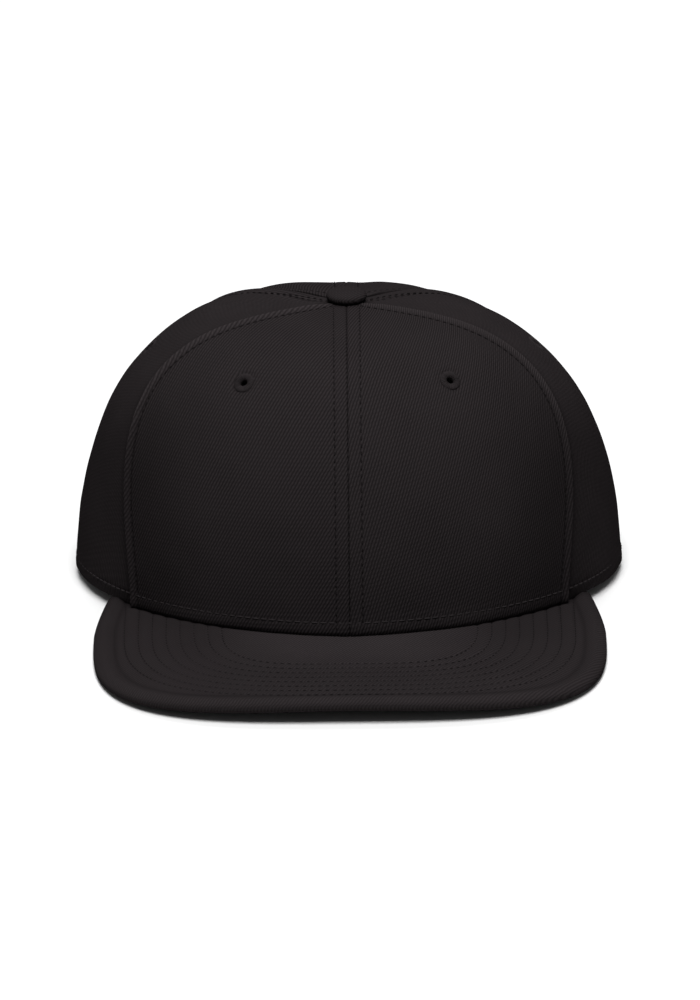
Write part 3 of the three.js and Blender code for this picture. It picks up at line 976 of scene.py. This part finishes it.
# Painted light on the peak's cloth: darker at its front and lighter towards its root, a painted highlight
# on its padded edge with painted shade at its rim, and painted shade where the rows begin
PEAK_TONE_FRONT = 0.67
PEAK_TONE_RISE = 0.37
EDGE_ROLL_HIGHLIGHT = 0.06
RIM_SHADE = 0.12
FIRST_ROW_SHADE = 0.16


def peak_edge(share):
    """The peak's outline in plan, share going from -1 at its left end to 1 at its right end."""
    root_x, root_y = rim_point(math.radians(PEAK_ROOT_TURN))
    around = np.abs(share)
    angle = np.clip(around / PEAK_CORNER_SHARE, 0, 1) * math.pi / 2
    x = PEAK_HALF_WIDTH * signed_power(np.sin(angle), 2 / PEAK_POWER)
    y = WIDEST_Y + (PEAK_FRONT - WIDEST_Y) * signed_power(np.cos(angle), 2 / PEAK_POWER)
    back = np.clip((around - PEAK_CORNER_SHARE) / (1 - PEAK_CORNER_SHARE), 0, 1)
    x = np.where(back > 0, PEAK_HALF_WIDTH + (root_x - PEAK_HALF_WIDTH) * back**1.5, x)
    y = np.where(back > 0, WIDEST_Y + (root_y - WIDEST_Y) * back, y)
    return np.stack([np.sign(share) * x, y], -1)


def even_peak_edge(steps):
    """The outline's points at even distances, and the shares where they lie."""
    fine = np.linspace(-1, 1, 6001)
    line = peak_edge(fine)
    length = lengths_along(line)
    shares = np.interp(np.linspace(0, length[-1], steps + 1), length, fine)
    return peak_edge(shares), shares


EDGE_LINE, EDGE_SHARES = even_peak_edge(900)


def row_shape(row):
    """Half width, reach forward of the peak's widest place, and power, of a row or between two rows."""
    half_width = PEAK_ROW_HALF_WIDTH - PEAK_ROW_STEP_SIDE * row
    reach = PEAK_WIDEST - PEAK_ROW_FRONT - PEAK_ROW_STEP_FRONT * row
    return half_width, reach, PEAK_ROW_POWER + PEAK_ROW_SQUARER * row


def row_number(x, y):
    """Which row a plan point lies on, counted inwards from 0, found by halving.

    The outline lies less than 4 rows out from the first, and the root less than 14 rows in.
    """
    low, high = np.full(x.shape, -4.0), np.full(x.shape, 14.0)
    forward = np.maximum(WIDEST_Y - y, 0)
    for _ in range(24):
        middle = (low + high) / 2
        half_width, reach, power = row_shape(middle)
        outside = (np.abs(x) / half_width) ** power + (forward / reach) ** power > 1
        high = np.where(outside, middle, high)
        low = np.where(outside, low, middle)
    return (low + high) / 2


def inset_of(points, batch=60):
    """How far each plan point lies in from the peak's outline, taken a batch of its points at a time."""
    best = np.full(len(points), np.inf)
    for start in range(0, len(EDGE_LINE), batch):
        chunk = EDGE_LINE[start : start + batch]
        apart = np.linalg.norm(points[:, None, :] - chunk[None, :, :], axis=-1)
        best = np.minimum(best, apart.min(axis=1))
    return best


def quilting(row):
    """The peak's relief: a groove along each row of stitches, and soft cloth between them."""
    from_row = np.abs(row - np.clip(np.round(row), 0, PEAK_ROWS - 1)) * PEAK_ROW_STEP_FRONT
    groove = -ROW_GROOVE * hump(from_row, ROW_GROOVE_WIDTH)
    inside = (row > 0) & (row < PEAK_ROWS - 1)
    between = 0.5 - 0.5 * np.cos(row * math.tau)
    return groove + np.where(inside, QUILT_SWELL * between, 0)


def edge_roll(inset):
    """The peak's edge is padded: it swells inside its rim and falls away towards it."""
    near = np.clip(1 - inset / EDGE_WIDTH, 0, 1)
    return EDGE_SWELL * np.sin(math.pi * near) ** 2 - EDGE_FALL * near**2.5


def peak_section(number, flat_steps, bend_steps):
    """Plan places and heights across the peak, from its root underneath round the edge and back on top."""
    edge = EDGE_LINE[number]
    turn = EDGE_SHARES[number] * math.radians(PEAK_ROOT_TURN)
    root = (crown_point(turn, 0.0) - PEAK_TUCK * crown_normal(turn, 0.0))[:2]
    half = PEAK_THICKNESS / 2
    out = (edge - root) / np.linalg.norm(edge - root)
    centre = edge - half * out
    flat = np.linspace(0, 1, flat_steps + 1)[:-1]
    bend = np.linspace(-math.pi / 2, math.pi / 2, bend_steps + 1)
    below = root + (centre - root) * flat[:, None]
    round_edge = centre + half * np.cos(bend)[:, None] * out
    plan = np.concatenate([below, round_edge, below[::-1]])
    heights = np.concatenate([np.full(len(flat), -half), half * np.sin(bend), np.full(len(flat), half)])
    return plan, heights


def peak_painted_light(row, inset):
    """Painted light on the peak: darker in front, a highlight on the padded edge, shade at its rim and
    first row.
    """
    # Painted highlight on the padded edge, and painted shade at its rim and in the first row's groove
    roll_light_and_shade = EDGE_ROLL_HIGHLIGHT * hump(inset - 2.8, width=1.8) - RIM_SHADE * (1 - ease(inset, low=0.1, high=1.6))
    first_row = -FIRST_ROW_SHADE * hump(inset - PEAK_ROW_FRONT + 0.4, width=0.9)
    return PEAK_TONE_FRONT + PEAK_TONE_RISE * ease(row, PEAK_ROWS / 2, PEAK_ROWS + 4) + roll_light_and_shade + first_row


def make_peak():
    numbers = range(0, len(EDGE_LINE), 3)
    sections = [peak_section(number, flat_steps=112, bend_steps=14) for number in numbers]
    plans, heights = (np.array(values) for values in zip(*sections))
    row = row_number(plans[..., 0], plans[..., 1])
    inset = inset_of(plans.reshape(-1, 2)).reshape(heights.shape)
    half = PEAK_THICKNESS / 2
    flatness = signed_power(np.clip(heights / half, -1, 1), 3)
    plan_waves = plans.reshape(-1, 2) / PEAK_WAVE
    waves = np.array([noise.noise(Vector((x, y, 0.5))) for x, y in plan_waves]).reshape(heights.shape)
    lift = quilting(row) + edge_roll(inset) + PEAK_UNEVEN * waves
    z = peak_top(plans[..., 0]) - half + heights + flatness * lift
    z = np.maximum(z, 0)
    places = np.concatenate([plans, z[..., None]], -1).transpose(1, 0, 2)
    # The cloth is cut flat, so its map is the plan itself, and runs on round the edge
    wrap = np.cumsum(np.concatenate([[0], np.abs(np.diff(heights[0]))]))
    cloth = (plans[..., 0].T, plans[..., 1].T + 0.6 * wrap[:, None])
    piece = lay_cloth("peak_cover", places, cloth, painted_light=peak_painted_light(row, inset).T)
    close_root(piece)
    smooth(piece, 60)
    material = cloth_material("twill peak", 58, PEAK_DARK, PEAK_LIGHT, depth=0.0003)
    dress(piece, material, "peak_twill", "peak")
    sew("peak_stitches", peak_rows(), THREAD_PEAK, fill=0.5)


def close_root(piece):
    """Joins the open edge along the peak's root and closes its two ends."""
    work_on(piece)
    bpy.ops.object.mode_set(mode="EDIT")
    bpy.ops.mesh.select_mode(type="EDGE")
    bpy.ops.mesh.select_all(action="DESELECT")
    bpy.ops.mesh.select_non_manifold()
    bpy.ops.mesh.edge_face_add()
    bpy.ops.mesh.quads_convert_to_tris()
    bpy.ops.mesh.select_all(action="SELECT")
    bpy.ops.mesh.normals_make_consistent(inside=False)
    bpy.ops.object.mode_set(mode="OBJECT")


def peak_rows():
    """The peak's rows of stitches, on top and underneath, each from the crown round to the crown."""
    rows = []
    angles = np.linspace(-math.pi / 2, math.pi / 2, 1501)
    for row in range(PEAK_ROWS):
        half_width, reach, power = row_shape(row)
        x = half_width * signed_power(np.sin(angles), 2 / power)
        y = WIDEST_Y - reach * signed_power(np.cos(angles), 2 / power)
        rim = -CROWN_HALF_LENGTH * (1 - (half_width / CROWN_HALF_WIDTH) ** RIM_POWER) ** (1 / RIM_POWER)
        straight = np.linspace(rim - 0.5, WIDEST_Y, 40)[:-1]
        x = np.concatenate([np.full(len(straight), -half_width), x, np.full(len(straight), half_width)])
        y = np.concatenate([straight, y, straight[::-1]])
        out = np.zeros((len(x), 3))
        dip = quilting(np.full(len(x), float(row)))
        for side, level in ((1, peak_top(x)), (-1, peak_top(x) - PEAK_THICKNESS)):
            out[:, 2] = side
            height = level + side * (dip + PEAK_STITCH_LIFT)
            rows.append((np.stack([x, y, height], -1), out.copy(), STITCH_PITCH))
    return rows


# Button

# How high its rim stands, the room left for its gathers, and the powers that round it above and underneath
BUTTON_RIM = 1.9
BUTTON_EASE = 0.15
BUTTON_TOP_POWER = 0.72
BUTTON_UNDER_POWER = 0.22
BUTTON_DOME_POWER = 0.95
GATHER_COUNT = 22
GATHER_DEPTH = 0.14
# Painted shade on its underside, as a share of its colour
BUTTON_UNDER_SHADE = 0.3


def make_button():
    """Cloth drawn over a low dome and gathered underneath."""
    deselect()
    bpy.ops.mesh.primitive_uv_sphere_add(segments=128, ring_count=64, radius=1)
    button = named("button_cover")
    places = vertex_places(button)
    radius, turn = polar(places)
    height = places[:, 2]
    under = np.clip(-height, 0, 1)
    reach = radius ** np.where(height > 0, BUTTON_TOP_POWER, BUTTON_UNDER_POWER)
    dome = (BUTTON_HEIGHT - BUTTON_RIM) * np.clip(height, 0, 1) ** BUTTON_DOME_POWER
    gather = GATHER_DEPTH * np.cos(GATHER_COUNT * turn + 1.7 * np.sin(5 * turn)) * under * reach
    around = (BUTTON_RADIUS - BUTTON_EASE) * reach + gather
    shape = from_polar(around, turn, BUTTON_RIM * (1 - under) + dome)
    move_vertices(button, in_frame(shape + (0, -APEX_FORWARD, CROWN_HEIGHT + GAP)))
    give_uv(button, shape[:, 0] * MM, (shape[:, 1] + dome) * MM)
    # Painted shade on the underside
    give_painted_light(button, 1 - BUTTON_UNDER_SHADE * under)
    smooth(button, 60)
    material = cloth_material("twill button", 48, CLOTH_DARK, CLOTH_LIGHT, rib=0.001, depth=0.00018)
    dress(button, material, "button_twill", "top_button")


# Eyelets

# The threads round a ring, the share of its height and width that they make, and how deep it is sewn in
RING_THREADS = 34
THREAD_HEIGHT = 0.18
THREAD_WIDTH = 0.06
RING_SUNK = 0.25


def make_eyelet(panel, sign, side):
    """A ring of satin stitches round a small hole, on both faces of the cloth."""
    seat, out = eyelet_seat(panel, sign)
    middle = (EYELET_RADIUS + EYELET_HOLE_RADIUS) / 2
    half_width = (EYELET_RADIUS - EYELET_HOLE_RADIUS) / 2
    deselect()
    bpy.ops.mesh.primitive_torus_add(
        major_segments=RING_THREADS * 6, minor_segments=20, major_radius=middle, minor_radius=half_width
    )
    ring = named(f"thread_ring_{panel['name']}_{side}")
    places = vertex_places(ring)
    radius, turn = polar(places)
    across = (radius - middle) / half_width
    up = places[:, 2] / half_width
    thread = np.abs(np.cos(RING_THREADS / 2 * turn))
    uneven = 0.12 * np.sin(7 * turn + 0.6) + 0.08 * np.sin(13 * turn)
    swell = 1 - THREAD_HEIGHT + THREAD_HEIGHT * thread + 0.4 * uneven
    tall = (PANEL_WALL / 2 + EYELETS[panel["name"]]["proud"]) * signed_power(up, 0.75) * swell
    reach = middle + half_width * across * (1 - THREAD_WIDTH + THREAD_WIDTH * thread + 0.05 * uneven)
    stand_on_cloth(ring, seat, out, from_polar(reach, turn, tall - PANEL_WALL / 2 - RING_SUNK))
    smooth(ring, 70)
    dress(ring, EYELET_THREAD, "eyelet_thread", f"eyelet_{panel['name']}_{side}")


def make_eyelets():
    for panel in PANELS:
        for side, sign in SIDES:
            make_eyelet(panel, sign, side)


# Sweatband and strap


def inside_crown(turns, height, depths):
    """A line of places inside the crown, at a height above its rim and at depths below its outer face."""
    rise = rise_at_height(turns, height)
    return crown_point(turns, rise) - depths[:, None] * crown_normal(turns, rise)


BAND_DEPTH = PANEL_WALL + BAND_GAP
STRAP_STEP = STRAP_WALL + GAP
# How far the sweatband puffs at its edges, its row pulls it in and its cloth ripples
BAND_PUFF = 0.3
BAND_GROOVE = 0.2
BAND_RIPPLE = 0.12
RIPPLE_COUNT = 31


def make_sweatband():
    end = float(turn_at_back(OPENING_HALF_WIDTH))
    tab = float(turn_at_back(OPENING_HALF_WIDTH + STRAP_TAB))
    start = float(turn_at_back(OPENING_HALF_WIDTH + 2 * STRAP_TAB))
    turns = np.linspace(-end, end, 421)
    heights = np.linspace(SWEATBAND_LIFT, SWEATBAND_LIFT + SWEATBAND_HEIGHT, 45)
    # It stands further in where the strap's sewn ends lie between it and the panels
    depths = BAND_DEPTH + STRAP_STEP * ease(np.abs(turns), start, start + 0.85 * (tab - start))
    places = []
    for height in heights:
        low = height - SWEATBAND_LIFT
        arch = math.sin(math.pi * low / SWEATBAND_HEIGHT)
        ripple = BAND_RIPPLE * np.sin(RIPPLE_COUNT * turns) * arch
        puff = BAND_PUFF * (1 - arch) - BAND_GROOVE * hump(low - BASE_ROW_UP, width=0.6) + ripple
        places.append(inside_crown(turns, height, depths + puff))
    around = lengths_along(places[0])
    cloth = np.meshgrid(around, heights)
    band = lay_cloth("sweatband_cloth", np.array(places), cloth, SWEATBAND_WALL - BAND_PUFF)
    round_edges(band, width=0.3, segments=2)
    smooth(band, 50)
    material = cloth_material("cotton band", 45, BAND_DARK, BAND_LIGHT, rib=0.0006, depth=0.0001)
    dress(band, material, "band_cloth", "sweatband")
    rise = rise_at_height(turns, BASE_ROW_UP + SWEATBAND_LIFT)
    out = -crown_normal(turns, rise)
    path = crown_point(turns, rise) + (depths + SWEATBAND_WALL)[:, None] * out
    sew("sweatband_stitches", [(path, out, BASE_PITCH)], THREAD_PAINTED_SHEEN)


# From the middle of the strap to its last fastened snap, and to the free ends of its halves
LAST_SNAP = (SNAPS_FASTENED - 1) / 2 * SNAP_PITCH
FREE_END = LAST_SNAP + STRAP_END
# The radius of a free end's corners, how deep a stud is rooted in its half, and how much its waist draws in
STRAP_CORNER = 6.0
STUD_ROOT = 0.5
STUD_WAIST = 0.12


def stud_depth(turn):
    """The half with studs dips inwards from the opening's edge to pass behind the other half."""
    low, high = float(turn_at_back(OPENING_HALF_WIDTH)), float(turn_at_back(FREE_END))
    return BAND_DEPTH + STRAP_STEP * ease(turn, low, high)


def hole_depth(turn):
    """The half with holes lies right behind the panels, all along."""
    return np.full(np.shape(turn), BAND_DEPTH)


def strap_blank(name, tab_side, depth_at):
    """One half of the strap with a rounded free end, bent along the inside of the crown."""
    low_x, high_x = sorted((-tab_side * FREE_END, tab_side * (OPENING_HALF_WIDTH + STRAP_TAB)))
    x = np.linspace(high_x, low_x, 181)
    turns = turn_at_back(x)
    into_corner = np.maximum(STRAP_CORNER - np.abs(x + tab_side * FREE_END), 0)
    narrow = STRAP_CORNER - np.sqrt(STRAP_CORNER**2 - into_corner**2)
    middle = STRAP_LIFT + STRAP_HEIGHT / 2
    shares = np.linspace(-1, 1, 29)
    heights = [middle + share * (STRAP_HEIGHT / 2 - narrow) for share in shares]
    places = np.array([inside_crown(turns, height, depth_at(turns)) for height in heights])
    strap = lay_cloth(name, places, np.meshgrid(x, shares * STRAP_HEIGHT / 2), STRAP_WALL)
    round_edges(strap, width=0.28, segments=3)
    return strap


def snap_seats(tab_side, depth_at):
    """Where each stud or hole stands on the outer face of its half, and the way out."""
    x = tab_side * (np.arange(SNAP_COUNT) * SNAP_PITCH - LAST_SNAP)
    turns = turn_at_back(x)
    rise = rise_at_height(turns, STRAP_LIFT + STRAP_HEIGHT / 2)
    out = crown_normal(turns, rise)
    return crown_point(turns, rise) - depth_at(turns)[:, None] * out, out


def make_studs(strap):
    """Round studs with domed heads and a waist, joined to their half of the strap."""
    reach = GAP + STRAP_WALL + STUD_PROUD
    studs = []
    for place, out in zip(*snap_seats(1, stud_depth)):
        deselect()
        bpy.ops.mesh.primitive_uv_sphere_add(segments=32, ring_count=24, radius=1)
        stud = named("stud")
        places = vertex_places(stud)
        radius, turn = polar(places)
        up = places[:, 2]
        waist = 1 - STUD_WAIST * hump(up - 0.1, width=0.35)
        around = STUD_RADIUS * radius**0.35 * waist
        height = (up + 1) / 2 * (reach + STUD_ROOT) - STUD_ROOT
        stand_on_cloth(stud, place, out, from_polar(around, turn, height))
        studs.append(stud)
    work_on(strap)
    for stud in studs:
        stud.select_set(True)
    bpy.ops.object.join()


def make_strap():
    studs = strap_blank("strap_with_studs", 1, stud_depth)
    make_studs(studs)
    smooth(studs, 35)
    dress(studs, PLASTIC, "strap_plastic", "snap_strap_studs")
    holes = strap_blank("strap_with_holes", -1, hole_depth)
    for place, out in zip(*snap_seats(-1, hole_depth)):
        cut(holes, punch(place, out, STUD_RADIUS + GAP, depth=6, sides=40))
    smooth(holes, 35)
    dress(holes, PLASTIC, "strap_plastic", "snap_strap_holes")


# The strip sewn over the edge of the opening: how far it reaches onto the panels, its thickness, and how
# far from the edge its row of stitches runs
BINDING_WIDTH = 6.0
BINDING_WALL = 0.4
BINDING_ROW_IN = 4.6


def round_opening(beyond, above):
    """A line of places round the opening, beyond its edge and above the panels' face, and its normals."""
    angles = np.linspace(math.radians(2), math.radians(178), 181)
    across = (OPENING_HALF_WIDTH + beyond) * np.cos(angles)
    up = (OPENING_HEIGHT + beyond) * np.sin(angles)
    turn, rise = behind_at(across, up)
    out = crown_normal(turn, rise)
    return crown_point(turn, rise) + above * out, out


def make_binding():
    """A folded strip of cloth sewn over the edge of the opening in the back."""
    lap = np.linspace(0, 1, 8)
    bend = np.linspace(math.pi / 2, -math.pi / 2, 9)[1:-1]
    half = PANEL_WALL / 2 + BINDING_WALL
    beyond = np.concatenate([BINDING_WIDTH * (1 - lap), -half * np.cos(bend), BINDING_WIDTH * lap])
    above = np.concatenate([np.full(len(lap), half), half * np.sin(bend), np.full(len(lap), -half)])
    rows = [round_opening(a, b - PANEL_WALL / 2)[0] for a, b in zip(beyond, above)]
    around = lengths_along(rows[0])
    over = lengths_along(np.column_stack([beyond, above]))
    binding = lay_cloth("opening_binding", np.array(rows), np.meshgrid(around, over), BINDING_WALL)
    smooth(binding, 60)
    material = cloth_material("twill binding", 40, CLOTH_DARK, CLOTH_LIGHT, rib=0.0009)
    dress(binding, material, "crown_twill")
    path, out = round_opening(BINDING_ROW_IN, BINDING_WALL + BINDING_STITCH_LIFT)
    sew("binding_stitches", [(path, out, STITCH_PITCH)], THREAD_BLACK)


# Stage

FLOOR_COLOUR = (0.62, 0.62, 0.62)
LIGHTS_AIM = (0, 0, 0.04)


def make_stage():
    deselect()
    bpy.ops.mesh.primitive_plane_add(size=14, location=(0, 1.5, 0))
    floor = named("floor")
    material, _, shader = new_material("white floor")
    shader.inputs["Base Color"].default_value = (*FLOOR_COLOUR, 1)
    shader.inputs["Roughness"].default_value = 0.9
    shader.inputs["Specular IOR Level"].default_value = 0.0
    floor.data.materials.append(material)


def add_light(name, size, power, place):
    deselect()
    bpy.ops.object.light_add(type="AREA", location=place)
    light = bpy.context.object
    light.name = name
    light.data.shape = "SQUARE"
    light.data.size = size
    light.data.energy = power
    aim = Vector(LIGHTS_AIM) - Vector(place)
    light.rotation_euler = aim.to_track_quat("-Z", "Y").to_euler()


def make_lights():
    add_light("key", size=3.0, power=570, place=(0.0, -2.63, 5.39))
    add_light("top", size=3.2, power=155, place=(0.0, 3.0, 5.0))
    world = bpy.data.worlds.new("studio")
    world.use_nodes = True
    background = world.node_tree.nodes["Background"].inputs
    background["Color"].default_value = (1, 1, 1, 1)
    background["Strength"].default_value = 0.2
    bpy.context.scene.world = world
    bpy.context.scene.view_settings.view_transform = "Standard"


# The photograph's frame and the view fitted to it
FRAME_PIXELS_TALL = 1000
FOCAL_PIXELS = 9782.5
CAMERA_DISTANCE = 3.6
CAMERA_RISE_DEGREES = 19.742
CAMERA_ROLL_DEGREES = 0.6
CAMERA_AIM = (0.55, -23.535, 35.112)


def make_camera():
    deselect()
    bpy.ops.object.camera_add()
    camera = bpy.context.object
    camera.data.sensor_width = 36
    camera.data.lens = FOCAL_PIXELS / FRAME_PIXELS_TALL * camera.data.sensor_width
    camera.data.clip_end = 50
    rise = math.radians(CAMERA_RISE_DEGREES)
    aim = Vector(in_frame(CAMERA_AIM))
    camera.location = aim + CAMERA_DISTANCE * Vector((0, -math.cos(rise), math.sin(rise)))
    camera.rotation_euler = (aim - camera.location).to_track_quat("-Z", "Y").to_euler()
    camera.rotation_euler.rotate_axis("Z", -math.radians(CAMERA_ROLL_DEGREES))
    bpy.context.scene.camera = camera


make_stage()
make_lights()
make_camera()
make_crown()
make_peak()
make_button()
make_eyelets()
make_sweatband()
make_strap()
make_binding()
